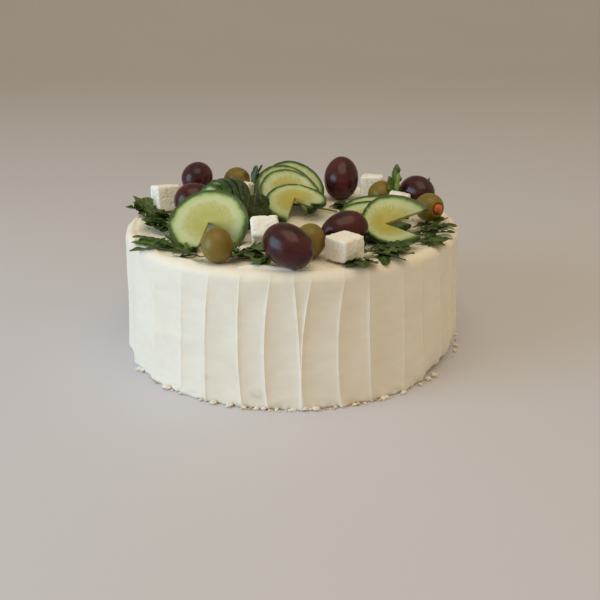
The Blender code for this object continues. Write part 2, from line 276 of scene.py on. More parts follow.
def frostingProfile():
    # radius and height of each ring, up the side, over the rim and in to the middle
    f = frosting
    rings = [(0.0, 0.0), (60.0, 0.0), (100.0, 0.0), (f["topRadius"] + 1.6, 0.0)]
    sideTop = f["rimHeight"] - f["rimRounding"]
    for i in range(f["sideRings"]):
        share = (i + 0.5) / f["sideRings"]
        height = sideTop * (share * 0.75 + 0.25 * share ** 2)  # closer rings near the foot
        swell = 3.0 * (1.0 - share) ** 1.2
        rings.append((f["topRadius"] + swell, height))
    for i in range(f["rimRings"] + 1):
        angle = 0.5 * math.pi * i / f["rimRings"]
        inward = f["rimRounding"] * (1.0 - math.cos(angle))
        rings.append((f["topRadius"] - inward, sideTop + f["rimRounding"] * math.sin(angle)))
    edge = f["topRadius"] - f["rimRounding"]
    for i in range(1, f["topRings"] + 1):
        radius = edge * (1.0 - (i / f["topRings"]) ** 1.45)
        fall = min(1.0, (edge - radius) / f["bedSlope"])
        rings.append((radius, f["rimHeight"] - (f["rimHeight"] - f["bedHeight"]) * fall))
    return rings


def combFrosting(points):
    # moves the plain turned shell into its combed and torn shape
    f = frosting
    ridges = listRidges()
    count = len(ridges)
    radius = np.hypot(points[:, 0], points[:, 1])
    height = points[:, 2]
    turn = np.degrees(np.arctan2(points[:, 0], -points[:, 1])) % 360.0
    place = turn / 360.0 * count + 1e-6
    stroke = np.floor(place).astype(int) % count
    share = place - np.floor(place)
    # columns gather at both ridges of their stroke
    share = np.where(share < 0.5, 0.5 * (2 * share) ** 1.7, 1.0 - 0.5 * (2 * (1 - share)) ** 1.7)
    level = np.clip(height / (f["rimHeight"] - f["rimRounding"]), 0.0, 1.0)

    def bearingOf(ridge):
        table = np.array([r[:3] for r in ridges], float)
        top, middle, foot = table[ridge].T
        bend = middle - 0.5 * (top + foot)
        return foot + (top - foot) * level + 4.0 * bend * level * (1.0 - level)

    left = bearingOf(stroke)
    right = bearingOf((stroke + 1) % count)
    right = np.where(right < left - 90.0, right + 360.0, right)
    bearing = left + (right - left) * share
    width = np.radians(right - left) * f["topRadius"]
    sharp = np.array([r[3] for r in ridges])
    nearLeft = share * width
    nearRight = (1.0 - share) * width
    side = smoothStep(3.0, 8.0, radius - 95.0)
    fade = side * (1.0 - 0.75 * smoothStep(60.0, 82.0, height))
    hollow = f["hollowPerWidth"] * width * np.sin(np.pi * share) ** 0.75
    lip = np.exp(-nearLeft / f["lipWidth"]) * sharp[stroke] * 0.6
    lip += np.exp(-nearRight / f["lipWidth"]) * sharp[(stroke + 1) % count]
    lip = np.minimum(lip, 1.1)
    angle = np.radians(bearing)
    around = np.stack([np.sin(angle) * 110.0, -np.cos(angle) * 110.0, height], 1)
    uneven = 0.5 + 0.5 * softNoise(around, (9.0, 9.0, 14.0), 3)
    out = -hollow * (0.7 + 0.3 * sharp[stroke]) + f["lipHeight"] * lip * (0.45 + 0.8 * uneven)
    out *= fade
    out += side * f["waveDepth"] * softNoise(around, (26.0, 26.0, 30.0), 5)
    out += side * f["mottleDepth"] * softNoise(around, (13.0, 13.0, 7.0), 7)
    out += side * 0.16 * softNoise(around, (5.0, 5.0, 2.6), 8)
    foot = 1.0 - smoothStep(0.0, 6.0, height)
    tear = softNoise(around, (3.2, 3.2, 2.4), 11) + 0.6 * softNoise(around, (1.5, 1.5, 1.5), 12)
    out += side * foot * f["tearDepth"] * tear
    # toward the right of the front the foot is wiped inward
    wiped = smoothStep(38.0, 62.0, bearing) * (1.0 - smoothStep(120.0, 150.0, bearing))
    lowness = 1.0 - np.clip(height / f["wipeHeight"], 0, 1)
    out -= side * wiped * f["wipeDepth"] * (1.0 - np.sqrt(np.clip(1.0 - lowness ** 2, 0, 1)))
    reach = np.where(radius > 1e-6, radius + out, radius)
    moved = np.stack([np.sin(angle) * reach, -np.cos(angle) * reach, height], 1)
    # torn lower edge
    lift = np.clip(softNoise(around * (1, 1, 0), (4.0, 4.0, 4.0), 21) - 0.15, 0.0, 1.0)
    onFoot = (radius > 105.0) & (height < 0.5)
    moved[:, 2] += np.where(onFoot, 1.6 * lift, 0.0)
    # the top: broad spatula arcs and fine drag marks
    top = 1.0 - smoothStep(104.0, 109.5, radius)
    top *= height > 40.0
    flat = np.stack([moved[:, 0], moved[:, 1], np.zeros(len(moved))], 1)
    swirl = np.stack([reach, np.unwrap(angle) * 55.0, np.zeros(len(moved))], 1)
    relief = 0.45 * softNoise(flat, 24.0, 31) + 0.22 * softNoise(swirl, (4.0, 40.0, 1.0), 32)
    relief += 0.16 * softNoise(flat, (11.0, 2.4, 1.0), 33)
    moved[:, 2] += top * relief
    moved[:, 2] += topLips(moved) * (height > 70.0)
    return moved, bearing


# low curled edges left on the top by the spatula: bearing range, radius, height, width
lips = [
    (-17, 1, 103.0, 2.6, 0.9), (2, 12, 101.5, 1.8, 0.8), (23, 37, 103.0, 2.2, 0.8),
    (-42, -30, 104.5, 0.9, 1.1), (-62, -50, 103.5, 1.1, 1.2), (70, 84, 103.5, 1.0, 1.4),
    (120, 140, 103.5, 1.2, 1.2),
    (-150, -128, 103.0, 1.3, 1.2), (165, 182, 104.0, 1.2, 1.1),
]


# grey smears low on the side: bearing, height, width, height of the smear, strength
smears = [
    (-10.5, 9.0, 4.0, 3.0, 0.55), (-27.0, 16.0, 1.6, 1.6, 0.5), (12.0, 12.0, 6.0, 3.0, 0.12),
    (38.0, 8.0, 5.0, 4.0, 0.18),
]


def topLips(points):
    radius = np.hypot(points[:, 0], points[:, 1])
    bearing = np.degrees(np.arctan2(points[:, 0], -points[:, 1]))
    total = np.zeros(len(points))
    for low, high, ring, tall, wide in lips:
        middle = 0.5 * (low + high)
        half = 0.5 * (high - low)
        away = (bearing - middle + 180.0) % 360.0 - 180.0
        along = np.clip(1.0 - (away / half) ** 2, 0.0, 1.0)
        centre = ring + 1.8 * (away / half) ** 2 - 0.9
        total += tall * along ** 0.6 * np.exp(-((radius - centre) / wide) ** 2)
    return total


def frostingMaterial():
    material, tree, shader = newMaterial("creamFrosting", Roughness=0.52, Specular_IOR_Level=0.35,
                                         Subsurface_Weight=0.35, Subsurface_Scale=0.006,
                                         Subsurface_Radius=(1.0, 0.75, 0.5))
    cloud = rampNode(tree, noiseNode(tree, 34.0, 5.0),
                     (0.3, (0.88, 0.825, 0.71)), (0.7, (0.92, 0.875, 0.775)))
    patch = rampNode(tree, noiseNode(tree, 110.0, 4.0, (1, 1, 1.8)),
                     (0.35, (0.955, 0.945, 0.92)), (0.65, (1, 1, 1)))
    tone = mixNode(tree, 0.7, cloud, patch, "MULTIPLY")
    crumbed = mixNode(tree, numberNode(tree, "bare"), tone, (0.74, 0.62, 0.42))
    smeared = mixNode(tree, numberNode(tree, "smear"), crumbed, (0.47, 0.44, 0.42))
    # painted highlight: the curled lips on the top turn near white, as if catching the light
    lipHighlighted = mixNode(tree, numberNode(tree, "lip"), smeared, (0.99, 0.985, 0.97))
    paint(tree, shader, lipHighlighted, (640.0, 4.0, 0.25, 0.10), (260.0, 4.0, 0.25, 0.25))
    return material


def buildFrosting():
    rings = frostingProfile()
    columns = frosting["columnsPerStroke"] * (len(frontRidges) + backRidgeCount)
    deselectAll()
    bpy.ops.mesh.primitive_plane_add(size=2 * mm)
    shell = nameNew("frosting")
    makeActive(shell)
    bpy.ops.object.mode_set(mode="EDIT")
    bpy.ops.mesh.select_all(action="SELECT")
    bpy.ops.mesh.merge(type="CENTER")
    for (fromRadius, fromHeight), (radius, height) in zip(rings, rings[1:]):
        step = ((radius - fromRadius) * mm, 0.0, (height - fromHeight) * mm)
        bpy.ops.mesh.extrude_region_move(TRANSFORM_OT_translate={"value": step})
    bpy.ops.mesh.select_all(action="SELECT")
    bpy.ops.mesh.spin(steps=columns, angle=2 * math.pi, center=(0, 0, 0), axis=(0, 0, 1))
    bpy.ops.mesh.select_all(action="SELECT")
    bpy.ops.mesh.remove_doubles(threshold=0.02 * mm)
    bpy.ops.mesh.normals_make_consistent(inside=False)
    bpy.ops.object.mode_set(mode="OBJECT")
    plain = getPoints(shell)
    moved, bearing = combFrosting(plain)
    setPoints(shell, moved)
    height = plain[:, 2]
    side = np.hypot(plain[:, 0], plain[:, 1]) > 105.0
    crumbs = softNoise(moved, 2.6, 41) + 0.7 * softNoise(moved, 9.0, 42)
    low = 1.0 - smoothStep(0.0, 5.0, height)
    frontOnly = 0.55 + 0.45 * np.exp(-((bearing - 8.0) / 22.0) ** 2)
    setNumber(shell, "bare", np.clip(side * low * smoothStep(0.15, 0.9, crumbs) * 0.9 * frontOnly, 0, 1))
    smear = np.zeros(len(plain))
    for where, up, wide, tall, strong in smears:
        across = np.radians(bearing - where) * 110.0
        spot = np.exp(-(across / wide) ** 2 - ((height - up) / tall) ** 2)
        smear += strong * spot * (0.6 + 0.6 * softNoise(moved, 2.0, 44))
    setNumber(shell, "smear", np.clip(side * smear, 0, 1))
    # painted highlight on the curled lips, read by the material as a whitening
    setNumber(shell, "lip", np.clip(topLips(plain) * (height > 70.0), 0, 1))
    return finishPiece(shell, frostingMaterial(), ["cake_body"])


# cucumber slices, cut to the middle and bent open

cucumber = {
    "flapSpan": math.radians(144),
    "flapCurve": 1.6,
    "columns": 132,
    "rings": 26,
    "skin": 0.5,          # width of the dark edge
    "scallop": 0.22,
    "seedCount": 13,
    "seedLength": 3.6,
    "seedWidth": 1.45,
    "hollow": 0.2,        # how far the very middle sinks
    "clearance": 0.2,     # kept between a slice and the frosting
    # how far each side of the cut curls back, to its left and to its right, which also sets how dark the
    # painted shade is there
    "curls": {"cucumber_left_1": (0.8, 6.0), "cucumber_back_1": (1.0, 1.5), "cucumber_right_1": (1.5, 2.5)},
}

# place, turn to the right, lean back, bearing of the cut, forward flap, back flap, bow at the
# middle, opening left of the cut, opening right of it, how far the cut runs past the middle, radius
slices = {
    "cucumber_left_1": ((-51, -49), -10, 50, 165, 15, 20, 0, 20, 36, 0, 24.5),
    "cucumber_back_1": ((2, 15), 12, 58, 185, 12, -45, -5, 18, 24, 7, 21),
    "cucumber_back_2": ((-2, 29), 22, 44, 190, 8, -28, 0, 22, 22, 6, 22),
    "cucumber_back_3": ((-5, 40), 24, 42, 190, 8, -28, 0, 22, 22, 6, 22),
    "cucumber_back_4": ((1, 50), 26, 42, 190, 8, -28, 0, 22, 22, 4, 22),
    "cucumber_right_1": ((58, -42), 0, 61, 100, 27, 2, 20, 38, 33, 9, 24),
    "cucumber_right_2": ((50, -31), 10, 73, 105, 0, 0, 0, 25, 20, 3, 24),
    "cucumber_right_3": ((54, -11), 10, 75, 105, 0, 0, 0, 25, 20, 3, 24),
}
sliceThickness = 2.5

# the thick slices that stand in a row behind the left one, their feet cut level
standing = {
    "count": 5,
    "start": (-54, -21),
    "step": (3.6, 3.2),
    "height": 92.0,
    "crown": 2.0,
    "turn": -60,
    "lean": 12,
    "bend": 8,
    "radius": 22.0,
    "thickness": 3.7,
}


def sliceMaterial(warm):
    # warm: how far the wet middle turns from pale green to yellow
    material, tree, shader = newMaterial("cucumber" + str(int(warm * 10)), Roughness=0.3,
                                         Specular_IOR_Level=0.5, Subsurface_Weight=0.3,
                                         Subsurface_Scale=0.003, Subsurface_Radius=(0.8, 1.0, 0.35))
    cloudy = noiseNode(tree, 170.0, 5.0)
    shifted = mathNode(tree, "ADD", numberNode(tree, "radial"), mathNode(tree, "MULTIPLY", cloudy, 0.14))
    core = (0.47 + 0.06 * warm, 0.47, 0.15 - 0.06 * warm)
    gel = (0.43 + 0.04 * warm, 0.45 - 0.02 * warm, 0.13 - 0.05 * warm)
    flesh = rampNode(tree, shifted, (0.0, core), (0.35, gel), (0.62, (0.49, 0.51, 0.21 - 0.05 * warm)),
                     (0.76, (0.56, 0.62, 0.37)), (0.90, (0.47, 0.58, 0.29)), (0.975, (0.13, 0.27, 0.04)),
                     (1.0, (0.035, 0.075, 0.015)))
    seeded = mixNode(tree, numberNode(tree, "seed"), flesh, (0.60, 0.58, 0.25))
    gelAndFoldShade = mixNode(tree, numberNode(tree, "gel"), seeded, (0.30, 0.33, 0.06))
    # painted shade: the flesh turns dark near the cut, where it curls back
    gelAndFoldShade = mixNode(tree, numberNode(tree, "gelAndFoldShade"), gelAndFoldShade, (0.12, 0.13, 0.03))
    mottle = rampNode(tree, noiseNode(tree, 420.0, 5.0), (0.42, (0.008, 0.028, 0.004)),
                      (0.6, (0.024, 0.070, 0.010)), (0.74, (0.09, 0.19, 0.03)))
    skin = mixNode(tree, numberNode(tree, "skin"), gelAndFoldShade, mottle)
    paint(tree, shader, skin, (700.0, 3.0, 0.25, 0.2))
    return material


def buildSlice(name, spec, thickness, material, seed):
    # a slice is as high as its CAD node, and what would sink into the frosting is lifted onto it
    c = cucumber
    place, turn, lean, cut, lift, drop, bow, openLeft, openRight, past, radius = spec
    deselectAll()
    bpy.ops.mesh.primitive_grid_add(x_subdivisions=c["columns"], y_subdivisions=c["rings"], size=2.0)
    piece = nameNew(name + "_slice")
    grid = getPoints(piece) * mm
    rng = np.random.default_rng(seed)
    first, last = math.radians(openLeft), math.radians(360 - openRight)
    angle = first + (last - first) * 0.5 * (grid[:, 0] + 1.0)
    share = 0.5 * (grid[:, 1] + 1.0)
    share = 1.0 - (1.0 - share) ** 1.35   # rings gather at the skin
    span = c["flapSpan"]
    rise = bow * np.sin(angle / 2) ** 2
    rise += lift * np.clip(1.0 - angle / span, 0.0, 1.0) ** c["flapCurve"]
    rise -= drop * np.clip(1.0 - (2 * math.pi - angle) / span, 0.0, 1.0) ** c["flapCurve"]
    rise = np.radians(rise)
    reach = past * np.cos(angle) + np.sqrt(radius ** 2 - (past * np.sin(angle)) ** 2)
    ring = np.stack([np.cos(angle) * 10, np.sin(angle) * 10, np.full(len(angle), seed * 7.0)], 1)
    reach = reach + c["scallop"] * softNoise(ring, 1.3, seed) + 0.35 * softNoise(ring, 5.0, seed + 1)
    rho = reach * share
    bearing = math.radians(cut) + angle
    # seeds lie in a ring, point inward, and stand just proud of the wet middle
    seedMask = np.zeros(len(angle))
    gelMask = np.zeros(len(angle))
    plainX, plainY = rho * np.sin(bearing), rho * np.cos(bearing)
    for k in range(c["seedCount"]):
        around = 2 * math.pi * (k + rng.uniform(-0.25, 0.25)) / c["seedCount"]
        depth = radius * (0.5 + rng.uniform(-0.07, 0.07) + 0.05 * (k % 2))
        sx, sy = depth * math.sin(around), depth * math.cos(around)
        along = (plainX - sx) * math.sin(around) + (plainY - sy) * math.cos(around)
        across = (plainX - sx) * math.cos(around) - (plainY - sy) * math.sin(around)
        squeeze = 1.0 + 0.25 * along / c["seedLength"]
        far = (along / (0.5 * c["seedLength"])) ** 2 + (across / (0.5 * c["seedWidth"] * squeeze)) ** 2
        strong = rng.uniform(0.55, 1.0)
        seedMask = np.maximum(seedMask, strong * (1.0 - smoothStep(0.7, 1.3, far)))
        gelMask = np.maximum(gelMask, strong * smoothStep(0.8, 1.4, far) * (1.0 - smoothStep(1.7, 3.6, far)))
    face = np.stack([plainX, plainY, np.zeros(len(angle))], 1)
    relief = 0.16 * seedMask - 0.14 * gelMask + 0.10 * softNoise(face, 5.0, seed)
    relief -= c["hollow"] * (1.0 - smoothStep(0.0, 0.35, share))
    curlLeft, curlRight = c["curls"].get(name, (0.4, 0.4))
    nearCut = np.exp(-((angle - first) / 0.45) ** 2) * curlLeft
    nearCut += np.exp(-((last - angle) / 0.55) ** 2) * curlRight
    # painted shade for the curled fold beside the cut, strongest right at the cut
    shade = np.exp(-((angle - first) / 0.3) ** 2) * curlLeft
    shade += np.exp(-((last - angle) / 0.4) ** 2) * curlRight
    flat = rho * np.cos(rise)
    local = np.stack([flat * np.sin(bearing), flat * np.cos(bearing), rho * np.sin(rise) + relief], 1)
    turnAngle, leanAngle = math.radians(turn), math.radians(lean)
    toward = Vector((math.sin(turnAngle) * math.cos(leanAngle), -math.cos(turnAngle) * math.cos(leanAngle),
                     math.sin(leanAngle)))
    right = Vector((math.cos(turnAngle), math.sin(turnAngle), 0.0))
    up = toward.cross(right)
    axes = np.array([right, up, toward])
    points = local @ axes + np.array((*place, 0.0))
    points[:, 2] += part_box(name)[1][2] / mm - points[:, 2].max()
    backward = np.array((-toward.x, -toward.y, 0.0)) / math.hypot(toward.x, toward.y)
    points += backward * (nearCut * share ** 0.7)[:, None]
    setPoints(piece, points)
    setNumber(piece, "radial", np.clip(share, 0, 1))
    setNumber(piece, "seed", seedMask * 0.55)
    setNumber(piece, "gel", gelMask * 0.5)
    # painted shade of the fold beside the cut, for the material to darken the flesh
    setNumber(piece, "gelAndFoldShade", np.clip(shade / 9.0, 0, 1))
    setNumber(piece, "skin", smoothStep(reach - c["skin"], reach - 0.4 * c["skin"], rho))
    inEditMode(piece, lambda: bpy.ops.mesh.remove_doubles(threshold=0.01 * mm))
    # make sure the shown face points along toward before it gets its thickness
    if Vector(np.mean(getNormals(piece), axis=0)).dot(toward) < 0.0:
        inEditMode(piece, bpy.ops.mesh.flip_normals)
    wall = piece.modifiers.new("wall", "SOLIDIFY")
    wall.thickness = thickness * mm
    wall.offset = -1.0
    soften = piece.modifiers.new("soften", "BEVEL")
    soften.width = 0.35 * mm
    soften.segments = 2
    soften.limit_method = "ANGLE"
    soften.angle_limit = math.radians(50)
    applyModifiers(piece)
    points = getPoints(piece)
    ground = np.array([heightAt(x, y) for x, y in points[:, :2]])
    points[:, 2] = np.maximum(points[:, 2], ground + c["clearance"])
    setPoints(piece, points)
    return finishPiece(piece, material, [name])


def buildStanding(material):
    r = standing
    lean = math.radians(r["lean"])
    for i in range(r["count"]):
        name = "cucumber_left_%d" % (i + 2)
        height = r["height"] + r["crown"] * math.sin(math.pi * i / (r["count"] - 1))
        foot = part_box(name)[0][2] / mm + r["thickness"] * math.sin(lean)
        opening = math.degrees(math.acos((height - foot) / (r["radius"] * math.cos(lean)))) + 2.0
        place = (r["start"][0] + r["step"][0] * i, r["start"][1] + r["step"][1] * i)
        spec = (place, r["turn"], r["lean"], 180, r["bend"], r["bend"], 0, opening, opening, 0, r["radius"])
        buildSlice(name, spec, r["thickness"], material, 60 + i)


# grapes and olives: egg shapes laid along their length

# length, thickness, bearing of the length, tilt of the length upward
grapes = {
    "grape_1": (26, 22.5, 70, 20),
    "grape_2": (28, 23.5, 20, 0),
    "grape_3": (32, 24, -36, -18),
    "grape_4": (30, 22, 197, -12),
    "grape_5": (32, 25, 80, 62),
    "grape_6": (27, 23, -54, 0),
}
grapeShape = {"segments": 48, "rings": 36, "taper": 0.06, "dent": 0.22, "scarRadius": 1.5, "scarDepth": 0.7}

# bearing of the hole, tilt of the hole upward, hole shown
olives = {
    "olive_1": (95, 72, False),
    "olive_2": (60, 70, False),
    "olive_3": (-25, 12, True),
    "olive_4": (88, 0, False),
    "olive_5": (-58, 4, True),
}
oliveShape = {
    "length": 20.5,
    "width": 18.6,
    "pitRadius": 3.9,
    "pitDepth": 4.2,
    "segments": 48,
    "rings": 40,
    "pepperRadius": 3.5,
    "pepperRise": 2.6,
    "pepperDepth": {"olive_3": 5.8, "olive_5": 2.0},  # how deep the middle of the filling sits
}


def layAlong(points, centre, bearing, tilt):
    lay = Matrix.Rotation(math.radians(90.0 - tilt), 3, "Y")
    swing = Matrix.Rotation(math.radians(bearing), 3, "Z")
    return points @ np.array(swing @ lay).T + np.array(centre)


def middleOf(node):
    low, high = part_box(node)
    return (low + high) / 2 / mm


def eggPiece(name, segments, rings):
    deselectAll()
    bpy.ops.mesh.primitive_uv_sphere_add(segments=segments, ring_count=rings, radius=1.0 * mm)
    return nameNew(name)


def grapeMaterial():
    material, tree, shader = newMaterial("grapeSkin", Roughness=0.3, Specular_IOR_Level=0.32,
                                         Coat_Weight=0.06, Coat_Roughness=0.12, Subsurface_Weight=0.12,
                                         Subsurface_Scale=0.002, Subsurface_Radius=(1.0, 0.25, 0.2))
    patch = rampNode(tree, noiseNode(tree, 70.0, 3.0), (0.35, (0.022, 0.003, 0.005)),
                     (0.52, (0.050, 0.006, 0.008)), (0.72, (0.105, 0.012, 0.012)))
    streak = rampNode(tree, noiseNode(tree, 160.0, 5.0), (0.45, (0.0, 0.0, 0.0)), (0.75, (0.5, 0.5, 0.5)))
    bloom = mixNode(tree, streak, patch, (0.060, 0.022, 0.030))
    scar = mixNode(tree, numberNode(tree, "scar"), bloom, (0.12, 0.07, 0.03))
    rough = rampNode(tree, noiseNode(tree, 120.0, 4.0), (0.35, (0.18,) * 3), (0.7, (0.34,) * 3))
    tree.links.new(rough, shader.inputs["Roughness"])
    paint(tree, shader, scar, (500.0, 3.0, 0.12, 0.15))
    return material


def buildGrape(name, spec, material, seed):
    length, thickness, bearing, tilt = spec
    g = grapeShape
    piece = eggPiece(name + "_skin", g["segments"], g["rings"])
    unit = getPoints(piece)
    taper = 1.0 - g["taper"] * unit[:, 2:3]
    points = np.hstack([unit[:, :2] * thickness / 2 * taper, unit[:, 2:3] * length / 2])
    points += unit * g["dent"] * softNoise(unit * 10.0 + seed * 31.0, 6.0, seed)[:, None]
    fromAxis = np.hypot(points[:, 0], points[:, 1])
    atScar = (unit[:, 2] < 0) * np.exp(-(fromAxis / g["scarRadius"]) ** 2)
    points[:, 2] += g["scarDepth"] * atScar
    setNumber(piece, "scar", np.clip(atScar * 1.3, 0, 1))
    setPoints(piece, layAlong(points, middleOf(name), bearing, tilt))
    return finishPiece(piece, material, [name])


def oliveMaterial():
    material, tree, shader = newMaterial("oliveSkin", Roughness=0.34, Specular_IOR_Level=0.38,
                                         Subsurface_Weight=0.15, Subsurface_Scale=0.003,
                                         Subsurface_Radius=(1.0, 0.7, 0.2))
    tone = rampNode(tree, noiseNode(tree, 60.0, 4.0),
                    (0.3, (0.16, 0.108, 0.012)), (0.7, (0.22, 0.158, 0.022)))
    fleck = rampNode(tree, noiseNode(tree, 600.0, 2.0), (0.62, (1.0, 1.0, 1.0)), (0.75, (1.35, 1.3, 1.2)))
    speckled = mixNode(tree, 1.0, tone, fleck, "MULTIPLY")
    cutEdge = mixNode(tree, numberNode(tree, "inside"), speckled, (0.33, 0.25, 0.07))
    paint(tree, shader, cutEdge, (420.0, 3.0, 0.15, 0.2))
    return material


def fillingMaterial():
    material, tree, shader = newMaterial("pepperFilling", Roughness=0.35, Specular_IOR_Level=0.5,
                                         Subsurface_Weight=0.2, Subsurface_Scale=0.002)
    tone = rampNode(tree, noiseNode(tree, 300.0, 4.0), (0.3, (0.40, 0.055, 0.008)), (0.7, (0.66, 0.17, 0.02)))
    paint(tree, shader, tone, (500.0, 4.0, 0.4, 0.4))
    return material


def buildOlive(name, spec, skin, pepper, seed):
    bearing, tilt, openEnd = spec
    o = oliveShape
    piece = eggPiece(name + "_skin", o["segments"], o["rings"])
    unit = getPoints(piece)
    points = unit * (o["width"] / 2, o["width"] / 2, o["length"] / 2)
    points += unit * 0.18 * softNoise(unit * 10.0 + seed * 17.0, 7.0, seed)[:, None]
    fromAxis = np.hypot(points[:, 0], points[:, 1])
    inside = np.zeros(len(points))
    if openEnd:
        inPit = (unit[:, 2] > 0) & (fromAxis < o["pitRadius"] + 0.6)
        depth = smoothStep(o["pitRadius"] + 0.5, o["pitRadius"] - 0.5, fromAxis)
        points[:, 2] -= np.where(inPit, depth * o["pitDepth"], 0.0)
        inside = np.where(inPit, depth, 0.0)
    dimple = np.exp(-(fromAxis / 1.6) ** 2) * (unit[:, 2] < 0)
    points[:, 2] += 0.6 * dimple
    setNumber(piece, "inside", inside)
    centre = middleOf(name)
    setPoints(piece, layAlong(points, centre, bearing, tilt))
    finishPiece(piece, skin, [name])
    if openEnd:
        plug = eggPiece(name + "_pepper", 32, 20)
        unit = getPoints(plug)
        points = unit * (o["pepperRadius"], o["pepperRadius"], o["pepperRise"])
        points[:, 2] += o["length"] / 2 - o["pepperDepth"][name]
        points += unit * 0.35 * softNoise(unit * 10.0, 4.0, seed + 5)[:, None]
        setPoints(plug, layAlong(points, centre, bearing, tilt))
        finishPiece(plug, pepper, [name + "_filling"])


# cheese: crumbly blocks grown from the CAD ones

cheese = {"voxel": 0.42, "grain": 0.2, "pits": 0.7, "chips": 1.5}


def cheeseMaterial():
    material, tree, shader = newMaterial("brinedCheese", Roughness=0.62, Specular_IOR_Level=0.3,
                                         Subsurface_Weight=0.35, Subsurface_Scale=0.004,
                                         Subsurface_Radius=(1.0, 0.85, 0.6))
    tone = rampNode(tree, noiseNode(tree, 150.0, 5.0), (0.3, (0.90, 0.87, 0.78)), (0.7, (0.96, 0.94, 0.88)))
    paint(tree, shader, tone, (1100.0, 4.0, 0.4, 0.25))
    return material


def buildCheese(name, material, seed, rough):
    makeActive(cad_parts[name])
    bpy.ops.object.duplicate()
    piece = nameNew(name + "_block")
    for key in list(piece.keys()):
        del piece[key]
    piece.parent = None
    inEditMode(piece, lambda: bpy.ops.mesh.remove_doubles(threshold=0.01 * mm))
    fine = piece.modifiers.new("fine", "REMESH")
    fine.mode = "VOXEL"
    fine.voxel_size = cheese["voxel"] * mm
    applyModifiers(piece)
    points = getPoints(piece)
    normals = getNormals(piece)
    centre = points.mean(axis=0)
    low, high = points.min(axis=0), points.max(axis=0)
    corner = np.linalg.norm((points - centre) / (high - low) * 2.0, axis=1)
    worn = smoothStep(0.95, 1.5, corner)
    out = cheese["grain"] * softNoise(points, 1.1, seed)
    out -= cheese["pits"] * rough * smoothStep(0.35, 0.8, softNoise(points, 2.3, seed + 1))
    out -= cheese["chips"] * rough * worn * smoothStep(0.0, 0.6, softNoise(points, 3.2, seed + 2))
    out += 0.25 * softNoise(points, 7.0, seed + 3)
    setPoints(piece, points + normals * out[:, None])
    return finishPiece(piece, material, [name])


print("frosting")
shell = buildFrosting()
surface = BVHTree.FromPolygons([v.co for v in shell.data.vertices], [f.vertices for f in shell.data.polygons])
print("cucumber")
paleSlice, middleSlice, warmSlice = sliceMaterial(0.0), sliceMaterial(0.5), sliceMaterial(1.0)
for number, (nodeName, spec) in enumerate(slices.items()):
    look = paleSlice if "left" in nodeName else warmSlice
    if nodeName in ("cucumber_back_3", "cucumber_back_4"):
        look = middleSlice
    buildSlice(nodeName, spec, sliceThickness, look, 50 + number)
buildStanding(paleSlice)
print("grapes and olives")
grapeSkin = grapeMaterial()
for number, (nodeName, spec) in enumerate(grapes.items()):
    buildGrape(nodeName, spec, grapeSkin, 70 + number)
oliveSkin, pepper = oliveMaterial(), fillingMaterial()
for number, (nodeName, spec) in enumerate(olives.items()):
    buildOlive(nodeName, spec, oliveSkin, pepper, 80 + number)
print("cheese")
cheeseWhite = cheeseMaterial()
for number in range(1, 7):
    buildCheese("cheese_%d" % number, cheeseWhite, 90 + number, 1.6 if number == 6 else 0.6)


# rocket: lobed leaves in tufts, each tuft one piece

leafShape = {"stations": 46, "across": 12, "thickness": 0.3, "stalk": 0.2, "stalkWidth": 0.55, "above": 0.25}
leafReach = 100.0  # no root lies farther out
uprightClimb = 60  # above it the leaves of a tuft share a root
bareMiddle = ((-8, 44), (-30, 33))  # range across and deep that has no small leaves

# CAD leaves that a tuft takes the place of, then how many leaves for each, half width, lobes, depth
# of the lobes, fan to each side, paleness, least climb, least length
tufts = {
    "leftBack": (["rocket_1"], 5, 4.4, 2, 0.40, 60, 0.60, 30, 15),
    "leftBroad": (["rocket_2", "rocket_3"], 4, 6.0, 1, 0.25, 60, 0.50, 22, 16),
    "leftFar": (["rocket_4"], 3, 3.2, 2, 0.40, 30, 0.40, 40, 16),
    "frontLeft": (["rocket_5"], 6, 2.8, 3, 0.50, 35, 0.70, 4, 16),
    "frontMiddle": (["rocket_6", "rocket_7", "rocket_8"], 4, 3.6, 3, 0.50, 50, 0.65, 8, 16),
    "frontRight": (["rocket_9", "rocket_10", "rocket_11"], 4, 3.4, 3, 0.50, 55, 0.50, 8, 18),
    "right": (["rocket_12", "rocket_13", "rocket_14"], 4, 3.0, 3, 0.50, 55, 0.50, 6, 18),
    "rightBack": (["rocket_15"], 5, 3.1, 4, 0.85, 50, 0.95, 76, 32),
    "rightFar": (["rocket_16"], 2, 1.5, 1, 0.20, 20, 0.95, 62, 20),
    "leftFan": (["rocket_17"], 3, 3.2, 2, 0.40, 30, 0.25, 74, 26),
    "rightFan": (["rocket_18"], 3, 3.6, 2, 0.30, 40, 0.20, 10, 13),
}

# the tuft without a leaf in the frame: broad leaves at the ends of the standing slices, small ones
# that lie by the back slices with these headings
middleTuft = {
    "beside": ("cucumber_left_4", "cucumber_left_5", "cucumber_left_6"),
    "by": "cucumber_back_1",
    "headings": (145, 35),
    "halfWidth": 5.0,
    "lobes": 2,
    "depth": 0.30,
    # the leaves are nearly black: partly their own dark green, partly painted shade of the gap between the
    # slices
    "pale": 0.08,
    "climb": 68,
    "length": 25,
}


